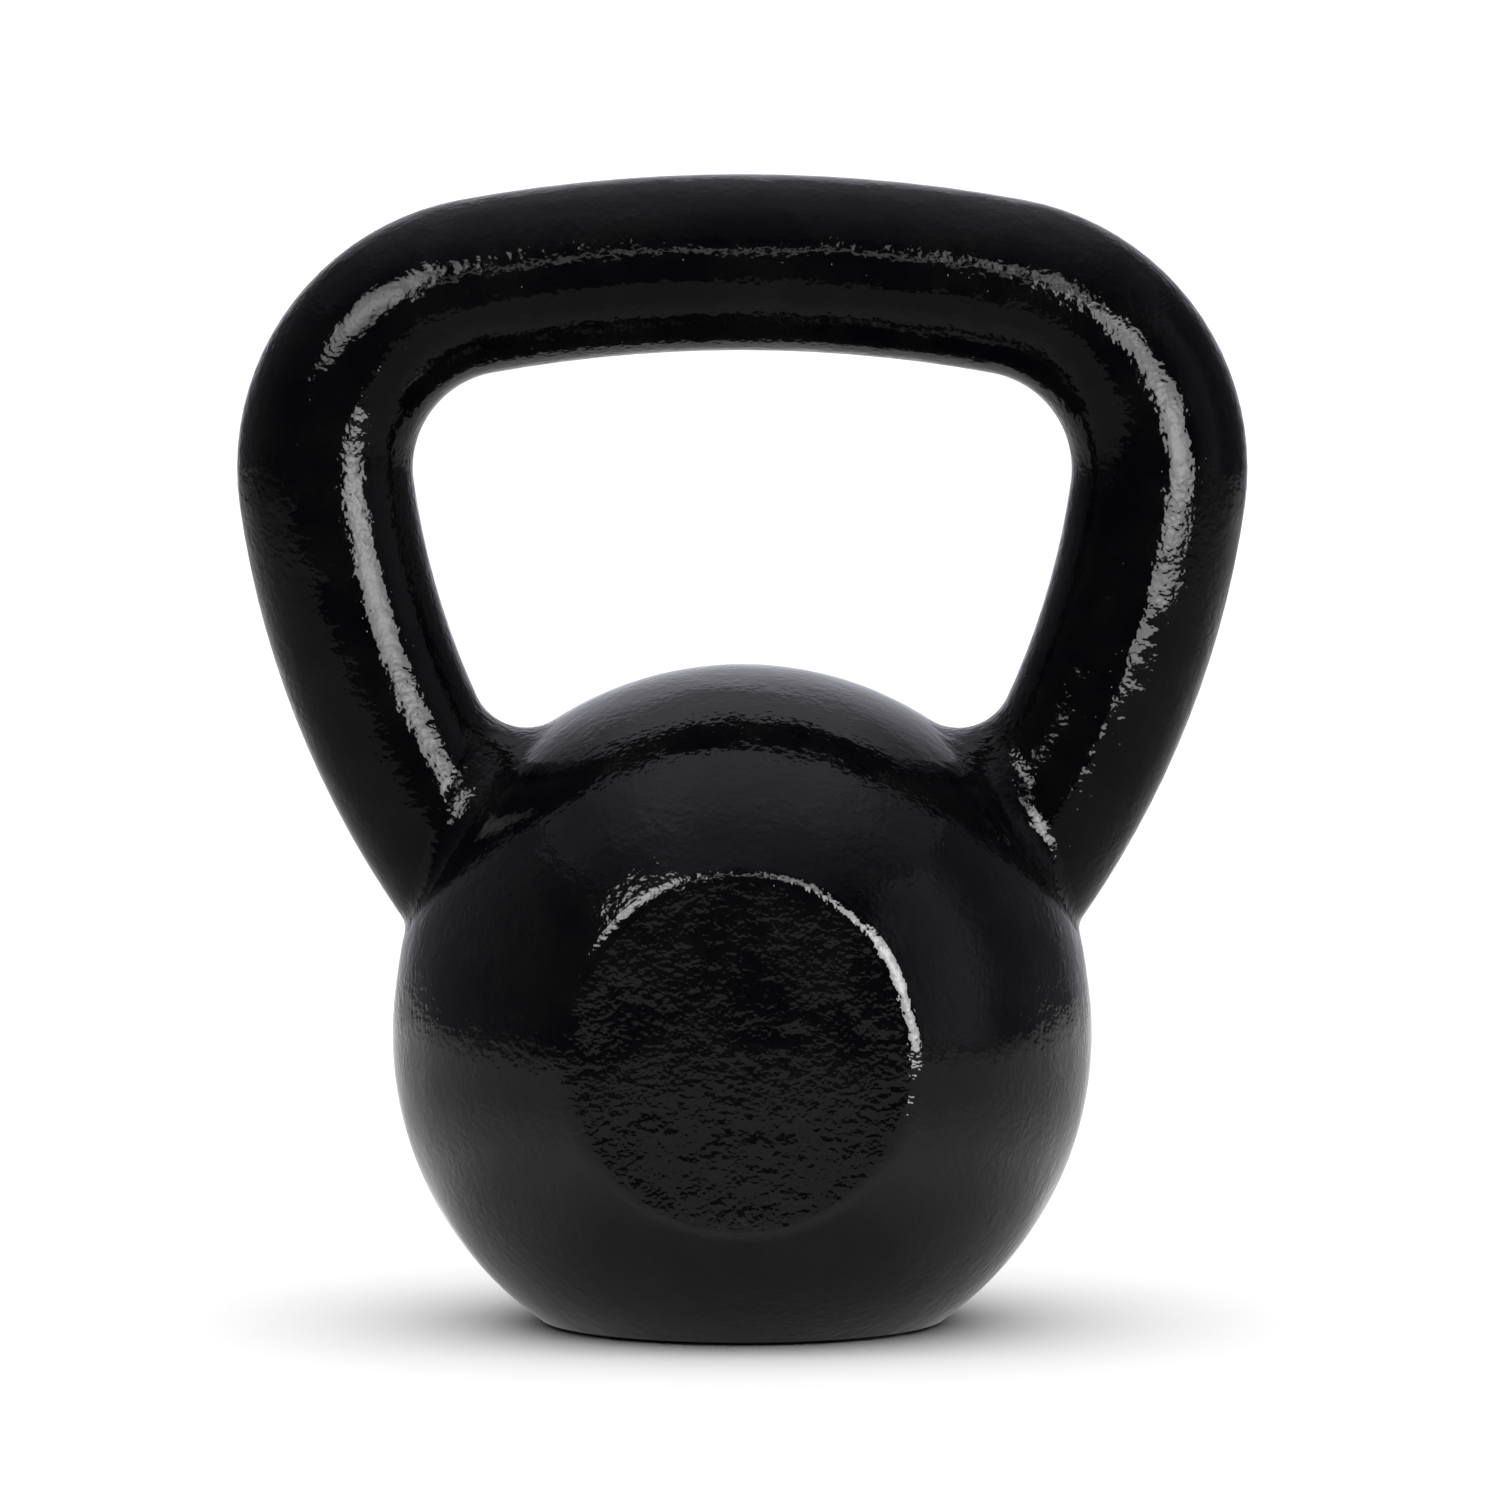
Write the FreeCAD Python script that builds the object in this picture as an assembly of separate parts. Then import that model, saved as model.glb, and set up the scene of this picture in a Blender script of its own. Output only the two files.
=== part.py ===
import FreeCAD, Part

import math
import os

# Kettlebell: a solid iron ball with a bent iron handle seated on its shoulders and welded there.
# +Z is up, +X runs along the grip and -Y is the front. The origin is the centre of the base.
# All sizes are in millimetres and degrees.

# Ball
ball_radius = 67.3
base_flat_radius = 38.0  # to the sharp corner, before its edge is rounded
base_edge_radius = 2.0
dome_rise = 4.5  # the centre of the domed top stands this far above the ball's own centre
dome_inset = 0.6  # the dome's radius is this much less than the ball's
face_flat_radius = 33.2  # the round flats at the front and the rear, to the sharp corner
face_edge_radius = 6.0

# Handle, measured along the centre line of its bar
bar_radius = 16.9
window_height = 60.6  # from the top of the dome to the underside of the grip
grip_half_length = 51.0
grip_arch_radius = 282.0
corner_radius = 35.5
leg_arch_radius = 166.0
root_angle = 58.0  # from straight up, at the dome's centre
leg_overrun = 30.0  # how far a leg's bar is drawn on into the ball, before it is trimmed to the dome

# Spigots under the legs, and their sockets in the ball
spigot_radius = 7.0
spigot_inset = 1.5  # towards the ball's middle from where the leg's centre line meets the dome
spigot_depth = 24.0  # below the same point
socket_side_clearance = 0.15
socket_end_clearance = 1.0

# Weld fillets around the leg roots
weld_inner_radius = 10.5  # on the side of the window
weld_outer_radius = 4.0

ball_centre_z = math.sqrt(ball_radius**2 - base_flat_radius**2)
face_flat_y = math.sqrt(ball_radius**2 - face_flat_radius**2)
dome_radius = ball_radius - dome_inset
dome_centre_z = ball_centre_z + dome_rise
dome_top_z = dome_centre_z + dome_radius
grip_centre_z = dome_top_z + window_height + bar_radius

origin = FreeCAD.Vector(0, 0, 0)
right = FreeCAD.Vector(1, 0, 0)
rear = FreeCAD.Vector(0, 1, 0)
up = FreeCAD.Vector(0, 0, 1)


def point(x, z):
    """A point in the XZ plane."""
    return FreeCAD.Vector(x, 0, z)


def on_circle(centre, radius, angle):
    """A point on a circle in the XZ plane, the angle in radians from straight up towards +X."""
    return centre + point(radius * math.sin(angle), radius * math.cos(angle))


def angle_of(centre, target):
    return math.atan2(target.x - centre.x, target.z - centre.z)


def inner_crossing(centre_a, radius_a, centre_b, radius_b):
    """Where two circles in the XZ plane cross, on the side nearer to -X."""
    apart = centre_b - centre_a
    along = (radius_a**2 - radius_b**2 + apart.Length**2) / (2 * apart.Length)
    across = math.sqrt(radius_a**2 - along**2)
    direction = apart / apart.Length
    foot = centre_a + direction * along
    offset = point(direction.z, -direction.x) * across
    return min(foot + offset, foot - offset, key=lambda crossing: crossing.x)


# Centre line of the handle's right half: a shallow arch over the grip, a tight corner and a gently bowed leg,
# each tangent to the next. The leg's arc comes down on the dome at its root.
ball_centre = point(0, ball_centre_z)
dome_centre = point(0, dome_centre_z)
leg_root = on_circle(dome_centre, dome_radius, math.radians(root_angle))
grip_end_angle = math.asin(grip_half_length / grip_arch_radius)
grip_arch_centre = point(0, grip_centre_z - grip_arch_radius)
corner_centre = on_circle(grip_arch_centre, grip_arch_radius - corner_radius, grip_end_angle)
leg_arch_centre = inner_crossing(corner_centre, leg_arch_radius - corner_radius, leg_root, leg_arch_radius)
leg_start_angle = angle_of(leg_arch_centre, corner_centre)
leg_end_angle = angle_of(leg_arch_centre, leg_root) + leg_overrun / leg_arch_radius


def mirrored(shape, normal):
    return shape.mirror(origin, normal)


def bar_section():
    """The bar's round section, standing in the YZ plane with its centre at the origin."""
    return Part.Face(Part.Wire(Part.makeCircle(bar_radius, origin, right)))


def front_half_section():
    """The front half of the same section."""
    low = point(0, -bar_radius)
    high = point(0, bar_radius)
    rim = Part.Arc(low, rear * -bar_radius, high).toShape()
    return Part.Face(Part.Wire([rim, Part.makeLine(high, low)]))


def bent_bar(section, centre, bend_radius, start_angle, end_angle):
    """The section carried along an arc in the XZ plane, angles in radians from straight up."""
    placed = section.translated(centre + point(0, bend_radius))
    placed.rotate(centre, rear, math.degrees(start_angle))
    return placed.revolve(centre, rear, math.degrees(end_angle - start_angle))


def right_leg_bar(section):
    return bent_bar(section, leg_arch_centre, leg_arch_radius, leg_start_angle, leg_end_angle)


def handle_bar():
    """The whole bent bar, its legs running on into the ball."""
    section = bar_section()
    grip = bent_bar(section, grip_arch_centre, grip_arch_radius, -grip_end_angle, grip_end_angle)
    corner = bent_bar(section, corner_centre, corner_radius, grip_end_angle, leg_start_angle)
    leg = right_leg_bar(section)
    return grip.fuse([corner, leg, mirrored(corner, right), mirrored(leg, right)])


def ball_form(turn):
    """The ball with its base cut flat and its domed top, turned through an angle from +X by way of -Y."""
    join_angle = math.acos(dome_inset / dome_rise)  # where the line between the two arcs touches both
    base_corner = point(base_flat_radius, 0)
    belly = on_circle(ball_centre, ball_radius, math.pi / 2)
    ball_end = on_circle(ball_centre, ball_radius, join_angle)
    dome_end = on_circle(dome_centre, dome_radius, join_angle)
    dome_middle = on_circle(dome_centre, dome_radius, join_angle / 2)
    dome_top = point(0, dome_top_z)
    outline = Part.Wire([
        Part.makeLine(origin, base_corner),
        Part.Arc(base_corner, belly, ball_end).toShape(),
        Part.makeLine(ball_end, dome_end),
        Part.Arc(dome_end, dome_middle, dome_top).toShape(),
        Part.makeLine(dome_top, origin),
    ])
    return Part.Face(outline).revolve(origin, up, -turn)


def spigot_blank(radius, bottom_z):
    """An upright cylinder under the right leg, from bottom_z up past the dome."""
    foot = point(leg_root.x - spigot_inset, bottom_z)
    return Part.makeCylinder(radius, dome_top_z - bottom_z, foot, up)


def edges_in_plane(shape, base, normal):
    """The edges of a shape that lie wholly in a plane."""
    found = []
    for edge in shape.Edges:
        if edge.Degenerated:
            continue
        if all(abs((place - base).dot(normal)) < 0.001 for place in edge.discretize(Number=7)):
            found.append(edge)
    return found


def make_ball():
    """The ball with a round flat on its front and its rear, and a socket under each leg."""
    rear_flat_centre = ball_centre + rear * face_flat_y
    front_flat_centre = ball_centre - rear * face_flat_y
    rear_cut = Part.makeCylinder(ball_radius, ball_radius, rear_flat_centre, rear)
    front_cut = Part.makeCylinder(ball_radius, ball_radius, front_flat_centre, -rear)
    ball = ball_form(360).cut([rear_cut, front_cut])
    face_rims = edges_in_plane(ball, rear_flat_centre, rear) + edges_in_plane(ball, front_flat_centre, rear)
    ball = ball.makeFillet(face_edge_radius, face_rims)
    ball = ball.makeFillet(base_edge_radius, edges_in_plane(ball, origin, up))
    socket_bottom_z = leg_root.z - spigot_depth - socket_end_clearance
    socket = spigot_blank(spigot_radius + socket_side_clearance, socket_bottom_z)
    return ball.cut([socket, mirrored(socket, right)])


def make_handle():
    """The bar coped to the dome, with a spigot under each leg."""
    dome = ball_form(360)
    spigot = spigot_blank(spigot_radius, leg_root.z - spigot_depth).common(dome)
    return handle_bar().cut(dome).fuse([spigot, mirrored(spigot, right)])


def make_right_root_weld():
    """The fillet between the right leg and the dome, wide towards the window and narrow outside."""
    ball = ball_form(90)
    leg = right_leg_bar(front_half_section())
    joined = ball.fuse(leg).Solids[0]
    # bar and dome cross along the only free-form curve of the joined shape
    drawn_edges = [edge for edge in joined.Edges if not edge.Degenerated]
    root_line = [edge for edge in drawn_edges if isinstance(edge.Curve, Part.BSplineCurve)]
    start_x = root_line[0].firstVertex().Point.x
    end_x = root_line[0].lastVertex().Point.x
    radii = [weld_inner_radius, weld_outer_radius]
    if start_x > end_x:
        radii.reverse()
    filleted = joined.makeFillet(radii[0], radii[1], root_line)
    front_half = filleted.cut([ball, leg])
    return front_half.fuse(mirrored(front_half, rear))


right_root_weld = make_right_root_weld()
parts = {
    "ball": make_ball(),
    "handle": make_handle(),
    "right_root_weld": right_root_weld,
    "left_root_weld": mirrored(right_root_weld, right),
}

os.makedirs("parts", exist_ok=True)
for name, shape in parts.items():
    shape.exportStep(f"parts/{name}.step")
    print(f"{name}: {len(shape.Solids)} solid, {shape.Volume / 1000:.1f} cm3")
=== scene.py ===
import math

import bpy
import numpy as np
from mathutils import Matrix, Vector


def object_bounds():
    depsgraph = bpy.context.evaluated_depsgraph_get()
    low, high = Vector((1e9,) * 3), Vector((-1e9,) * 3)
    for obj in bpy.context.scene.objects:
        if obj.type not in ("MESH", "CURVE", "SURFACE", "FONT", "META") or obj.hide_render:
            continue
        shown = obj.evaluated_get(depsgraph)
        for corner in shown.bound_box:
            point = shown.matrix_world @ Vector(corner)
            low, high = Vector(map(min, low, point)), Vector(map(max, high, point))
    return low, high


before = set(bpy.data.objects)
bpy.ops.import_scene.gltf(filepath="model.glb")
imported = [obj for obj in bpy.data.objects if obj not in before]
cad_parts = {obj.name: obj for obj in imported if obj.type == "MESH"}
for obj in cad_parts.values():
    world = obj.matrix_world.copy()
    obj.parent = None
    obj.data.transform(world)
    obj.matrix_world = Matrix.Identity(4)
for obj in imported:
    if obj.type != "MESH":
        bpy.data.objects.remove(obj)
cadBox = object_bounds()
scene = bpy.context.scene
scene.view_settings.view_transform = "Standard"
print("frame loaded:", sorted(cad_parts))


cameraSetup = {
    "aim": (0.0, 0.0, 0.111),
    "azimuth": 0.4,  # degrees round the bell from the front, towards its right side
    "elevation": 5.1,
    "distance": 3.0,
    "widthInView": 0.2883,  # metres across the frame at the bell
    "shift": (0.0052, -0.0022),
    "sensor": 36.0,
    "farEnd": 50.0,
}


def towards(azimuth, elevation):
    # unit vector from the bell, azimuth from the front towards +X, both in degrees
    around, above = math.radians(azimuth), math.radians(elevation)
    level = math.cos(above)
    return Vector((math.sin(around) * level, -math.cos(around) * level, math.sin(above)))


def makeCamera():
    data = bpy.data.cameras.new("camera")
    data.sensor_width = cameraSetup["sensor"]
    data.lens = data.sensor_width * cameraSetup["distance"] / cameraSetup["widthInView"]
    data.shift_x, data.shift_y = cameraSetup["shift"]
    data.clip_end = cameraSetup["farEnd"]
    camera = bpy.data.objects.new("camera", data)
    scene.collection.objects.link(camera)
    back = towards(cameraSetup["azimuth"], cameraSetup["elevation"])
    camera.location = Vector(cameraSetup["aim"]) + back * cameraSetup["distance"]
    camera.rotation_mode = "QUATERNION"
    camera.rotation_quaternion = back.to_track_quat("Z", "Y")
    scene.camera = camera


makeCamera()
print("camera made")


class Wire:
    # one output socket in a material; arithmetic on it adds Math nodes

    def __init__(self, tree, socket=None):
        self.tree = tree
        self.socket = socket

    def add(self, kind, settings=None, inputs=None, output=0):
        node = self.tree.nodes.new(kind)
        for name, value in (settings or {}).items():
            if name == "stops":
                self.setStops(node.color_ramp, value)
            else:
                setattr(node, name, value)
        for name, value in (inputs or {}).items():
            if isinstance(value, Wire):
                self.tree.links.new(value.socket, node.inputs[name])
            else:
                node.inputs[name].default_value = value
        return Wire(self.tree, node.outputs[output]) if len(node.outputs) else None

    def setStops(self, ramp, stops):
        while len(ramp.elements) < len(stops):
            ramp.elements.new(0.5)
        for element, (place, level) in zip(ramp.elements, stops):
            element.position = place
            element.color = (level, level, level, 1.0)

    def maths(self, operation, first, second):
        return self.add("ShaderNodeMath", {"operation": operation}, {0: first, 1: second})

    def __add__(self, other):
        return self.maths("ADD", self, other)

    def __radd__(self, other):
        return self.maths("ADD", other, self)

    def __sub__(self, other):
        return self.maths("SUBTRACT", self, other)

    def __rsub__(self, other):
        return self.maths("SUBTRACT", other, self)

    def __mul__(self, other):
        return self.maths("MULTIPLY", self, other)

    def __rmul__(self, other):
        return self.maths("MULTIPLY", other, self)

    def ramp(self, *stops):
        return self.add("ShaderNodeValToRGB", {"stops": stops}, {"Fac": self})

    def blend(self, low, high):
        # between two colours by this wire's value; 6, 7 and 2 are the Mix node's colour sockets
        return self.add("ShaderNodeMix", {"data_type": "RGBA"}, {0: self, 6: low, 7: high}, 2)


def newMaterial(name):
    material = bpy.data.materials.new(name)
    material.use_nodes = True
    material.node_tree.nodes.clear()
    return material, Wire(material.node_tree)


def grain(wire, place, size, detail=1.0, roughness=0.5):
    # noise whose features are about size metres across
    inputs = {"Vector": place, "Scale": 1.0 / size, "Detail": detail, "Roughness": roughness}
    return wire.add("ShaderNodeTexNoise", None, inputs)


# black stoving enamel on a sand casting, which is worn and rough in patches; sizes in metres
enamelLook = {
    "black": (0.0016, 0.0016, 0.0023, 1.0),
    "worn": (0.0034, 0.0034, 0.0037, 1.0),
    "roughness": (0.040, 0.085),  # smooth patches, worn patches
    "patchSize": 0.016,
    "patchEdge": (0.40, 0.62),  # noise levels between which smooth turns to worn
    "swellSize": 0.0080,
    "peelSize": 0.0017,
    "sandSize": 0.0010,
    "pitSpacing": 0.0024,
    "pitSize": 0.10,  # of the spacing
    "peelLoss": 0.6,  # share of its depth that the peel loses in a smooth patch
    "sandLoss": 0.8,
    "flatLoss": 0.45,
}

# radii at which the flats' extra coarseness starts to rise, peaks and ends, and its share of the peak
# inside the first; the flats' middle is measured up from the base
flatFace = {"middle": 0.0577, "core": 0.022, "edge": 0.0330, "end": 0.0362, "coreLevel": 0.12}


def flatBand(wire, place):
    # how far a point is from the flats' axis, turned into 1 along their edges and 0 on the ball
    middle = cadBox[0].z + flatFace["middle"]
    flat = wire.add("ShaderNodeVectorMath", {"operation": "MULTIPLY_ADD"},
                    {0: place, 1: (1.0, 0.0, 1.0), 2: (0.0, 0.0, -middle)})
    reach = wire.add("ShaderNodeVectorMath", {"operation": "LENGTH"}, {0: flat}, "Value")
    stretch = 10.0  # a ramp runs from 0 to 1, and the radii are a few hundredths
    stops = [(flatFace["core"], flatFace["coreLevel"]), (flatFace["edge"], 1.0), (flatFace["end"], 0.0)]
    return (reach * stretch).ramp(*[(radius * stretch, level) for radius, level in stops])


def enamel(name, look):
    # slow swell, orange peel, sand grains that show through in patches, and pinholes
    material, wire = newMaterial(name)
    place = wire.add("ShaderNodeTexCoord", output="Object")
    smoothEnd, wornStart = enamelLook["patchEdge"]
    worn = grain(wire, place, enamelLook["patchSize"], 3.0, 0.6).ramp((smoothEnd, 0.0), (wornStart, 1.0))
    smooth = 1 - worn
    swell = grain(wire, place, enamelLook["swellSize"], roughness=0.4)
    peel = grain(wire, place, enamelLook["peelSize"])
    sand = grain(wire, place, enamelLook["sandSize"])
    cells = wire.add("ShaderNodeTexVoronoi", None, {"Vector": place, "Scale": 1.0 / enamelLook["pitSpacing"]})
    pits = cells.ramp((0.0, 1.0), (enamelLook["pitSize"], 0.0))
    peelShare = 1 - smooth * enamelLook["peelLoss"]
    sandShare = 1 - smooth * enamelLook["sandLoss"]
    if look["flats"] > 0:
        band = flatBand(wire, place) * (1 - smooth * enamelLook["flatLoss"]) * look["flats"]
        peelShare = peelShare + band
        sandShare = sandShare + band
    height = swell * look["swell"] + peel * peelShare * look["peel"]
    height = height + sand * sandShare * look["sand"] - pits * look["pit"]
    bump = wire.add("ShaderNodeBump", None, {"Strength": 1.0, "Distance": 0.001, "Height": height})
    low, high = enamelLook["roughness"]
    shader = wire.add("ShaderNodeBsdfPrincipled", None, {
        "Base Color": worn.blend(enamelLook["black"], enamelLook["worn"]),
        "Roughness": worn * (high - low) + low,
        "Specular IOR Level": look["gloss"],
        "Normal": bump,
    })
    wire.add("ShaderNodeOutputMaterial", None, {"Surface": shader})
    return material


def coat(material, *nodeNames):
    for nodeName in nodeNames:
        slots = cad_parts[nodeName].data.materials
        slots.clear()
        slots.append(material)


# depths are in millimetres; flats is how much coarser the round flats and their edges are
ballLook = {"gloss": 0.27, "swell": 0.060, "peel": 0.115, "sand": 0.070, "pit": 0.025, "flats": 0.80}
coat(enamel("ballEnamel", ballLook), "ball")

# the handle and welds carry the ball's enamel with weaker gloss: painted shade, so that their reflections
# read darker than the ball's
handleLook = {"gloss": 0.125, "swell": 0.15, "peel": 0.160, "sand": 0.065, "pit": 0.045, "flats": 0.0}
coat(enamel("handleEnamel", handleLook), "handle")

weldLook = {"gloss": 0.16, "swell": 0.26, "peel": 0.280, "sand": 0.120, "pit": 0.030, "flats": 0.0}
coat(enamel("weldEnamel", weldLook), "left_root_weld", "right_root_weld")
print("enamel on")


studio = {
    "floorHalf": 14.0,
    "floorDrop": 0.0001,  # below the base, so that the two don't share a plane
    "paper": 0.86,
    "daylight": 4.30,
    "daylightSpread": 110.0,  # degrees
    "room": 0.04,
    "white": (1.0, 1.0, 1.0),
    "cool": (0.90, 0.90, 1.0),
}


def makePaper():
    material, wire = newMaterial("floorPaper")
    tone = studio["paper"]
    paper = wire.add("ShaderNodeBsdfDiffuse", None, {"Color": (tone, tone, tone, 1.0)})
    wire.add("ShaderNodeOutputMaterial", None, {"Surface": paper})
    return material


def makeGlow():
    # every reflector takes its colour and brightness from its mesh
    material, wire = newMaterial("glow")
    tone = wire.add("ShaderNodeAttribute", {"attribute_name": "tone"}, output="Color")
    light = wire.add("ShaderNodeEmission", None, {"Color": tone, "Strength": 1.0})
    wire.add("ShaderNodeOutputMaterial", None, {"Surface": light})
    return material


glow = makeGlow()


def between(stops, place):
    return float(np.interp(place, list(stops), list(stops.values())))


def stageMesh(name, points, faces, material):
    mesh = bpy.data.meshes.new(name)
    mesh.from_pydata(points, [], faces)
    mesh.materials.append(material)
    made = bpy.data.objects.new(name, mesh)
    scene.collection.objects.link(made)
    return made


def reflector(name, tint, grid, place, tone):
    # a grid that only the gloss sees, so that the floor and walls stay plain from every side;
    # place and tone take shares from 0 to 1 across and up the grid
    columns, rows = grid
    steps = [(column / columns, row / rows) for row in range(rows + 1) for column in range(columns + 1)]
    across = columns + 1
    corners = [row * across + column for row in range(rows) for column in range(columns)]
    faces = [(i, i + 1, i + 1 + across, i + across) for i in corners]
    made = stageMesh(name, [place(*step) for step in steps], faces, glow)
    shades = np.outer([tone(*step) for step in steps], (*studio[tint], 1.0))
    tones = made.data.attributes.new("tone", "FLOAT_COLOR", "POINT")
    tones.data.foreach_set("color", shades.ravel())
    made.visible_camera = False
    made.visible_diffuse = False
    made.visible_shadow = False
    made.visible_transmission = False


def makeFloor():
    half = studio["floorHalf"]
    low = cadBox[0].z - studio["floorDrop"]
    corners = [(-half, -half, low), (half, -half, low), (half, half, low), (-half, half, low)]
    stageMesh("floor", corners, [(0, 1, 2, 3)], makePaper())


def makeDaylight():
    # for the floor and the enamel's own black; the gloss mirrors the reflectors and the room instead
    data = bpy.data.lights.new("daylight", "SUN")
    data.energy = studio["daylight"]
    data.angle = math.radians(studio["daylightSpread"])
    lamp = bpy.data.objects.new("daylight", data)
    scene.collection.objects.link(lamp)
    lamp.visible_glossy = False


def makeRoom():
    world = bpy.data.worlds.new("room")
    world.use_nodes = True
    level = studio["room"]
    world.node_tree.nodes["Background"].inputs["Color"].default_value = (level, level, level, 1.0)
    scene.world = world


makeFloor()
makeDaylight()
makeRoom()
print("floor, daylight and room made")


# azimuth and elevation in degrees, seen from the camera's aim; corner is how far from its middle a
# cloth is cut round, as a share of its sides, where it isn't square
softboxes = {
    "keyRight": {"azimuth": 32, "elevation": 5.2, "distance": 0.65, "size": (0.36, 0.328), "level": 25.0},
    "keyRightTop": {"azimuth": 25, "elevation": 18, "distance": 0.98, "size": (0.36, 0.20), "level": 20.0},
    "keyRightHigh": {"azimuth": 16, "elevation": 30, "distance": 0.98, "size": (0.24, 0.20), "level": 8.0},
    "keyLeft": {"azimuth": -32, "elevation": 29.5, "distance": 0.95, "size": (0.48, 0.42), "level": 14.0,
                "corner": 0.50},
    "stripFront": {"azimuth": 0, "elevation": 25, "distance": 1.05, "size": (0.62, 0.10), "level": 3.2},
}
boxFace = {"grid": (16, 16), "rim": 0.60, "middle": 1.40, "spread": 0.10, "squareCorner": 0.80, "fade": 0.10}


def makeSoftbox(name, box):
    # brighter in the middle of its cloth, where the lamp stands behind it
    back = towards(box["azimuth"], box["elevation"])
    middle = Vector(cameraSetup["aim"]) + back * box["distance"]
    across = Vector((0, 0, 1)).cross(back).normalized()
    upward = back.cross(across)
    width, height = box["size"]
    corner = box.get("corner", boxFace["squareCorner"])

    def place(u, v):
        return middle + across * (u - 0.5) * width + upward * (v - 0.5) * height

    def level(u, v):
        reach = math.hypot(u - 0.5, v - 0.5)
        hot = math.exp(-reach ** 2 / boxFace["spread"])
        cut = between({corner: 1.0, corner + boxFace["fade"]: 0.0}, reach)
        return box["level"] * cut * (boxFace["rim"] + (boxFace["middle"] - boxFace["rim"]) * hot)

    reflector(name, "white", boxFace["grid"], place, level)


for boxName, box in softboxes.items():
    makeSoftbox(boxName, box)
print("softboxes made:", len(softboxes))


# tone goes by azimuth in degrees
walls = {
    "distance": 1.7,
    "top": 1.9,
    "grid": (180, 1),
    "tone": {-180: 0.90, -158: 0.70, -140: 0.22, -100: 0.16, -78: 0.08, -60: 0.04, 48: 0.04, 64: 0.42,
             80: 0.55, 95: 0.16, 135: 0.16, 158: 0.70, 180: 0.90},
}


def wallPlace(u, v):
    return towards(u * 360 - 180, 0) * walls["distance"] + Vector((0, 0, v * walls["top"]))


def wallLevel(u, v):
    return between(walls["tone"], u * 360 - 180)


reflector("walls", "cool", walls["grid"], wallPlace, wallLevel)


# tone goes by y, from the front to the back, and aside is its share by distance from the middle
ceiling = {
    "height": 1.45,
    "width": 4.0,
    "front": -2.2,
    "grid": (40, 80),
    "tone": {-1.9: 0.12, -1.2: 0.24, -0.84: 0.37, -0.60: 0.46, -0.23: 0.82, 0.7: 0.85, 1.2: 0.6},
    "aside": {0.5: 1.0, 1.1: 0.4},
}


def ceilingPlace(u, v):
    return Vector(((u - 0.5) * ceiling["width"], v * ceiling["width"] + ceiling["front"], ceiling["height"]))


def ceilingLevel(u, v):
    place = ceilingPlace(u, v)
    return between(ceiling["tone"], place.y) * between(ceiling["aside"], abs(place.x))


reflector("ceiling", "cool", ceiling["grid"], ceilingPlace, ceilingLevel)


# a glowing sheet that the gloss sees in place of the paper floor; tone goes outwards from the bell, darker
# close to it as a painted contact shadow and brightest about 0.11 m out as a painted pool of key light;
# behind is added by y at the back, and the glow ends at the front
floorGlow = {
    "lift": 0.0006,
    "width": 4.0,
    "grid": (100, 200),
    "tone": {0.05: 0.32, 0.08: 0.52, 0.11: 0.95, 0.15: 0.80, 0.22: 0.62, 0.60: 0.62, 1.00: 0.30},
    "behind": {0.0: 0.0, 0.5: 0.25},
    "frontEnd": {-0.58: 0.0, -0.52: 1.0},
}


def floorPlace(u, v):
    return Vector(((u - 0.5) * floorGlow["width"], (v - 0.5) * floorGlow["width"], floorGlow["lift"]))


def floorLevel(u, v):
    place = floorPlace(u, v)
    share = between(floorGlow["frontEnd"], place.y)
    # the tone by distance paints the bell's contact shadow and a pool of key light into the floor's
    # reflection
    level = between(floorGlow["tone"], place.length) + between(floorGlow["behind"], place.y)
    return level * share + studio["room"] * (1 - share)


reflector("floorGlow", "white", floorGlow["grid"], floorPlace, floorLevel)
print("walls, ceiling and floor glow made")
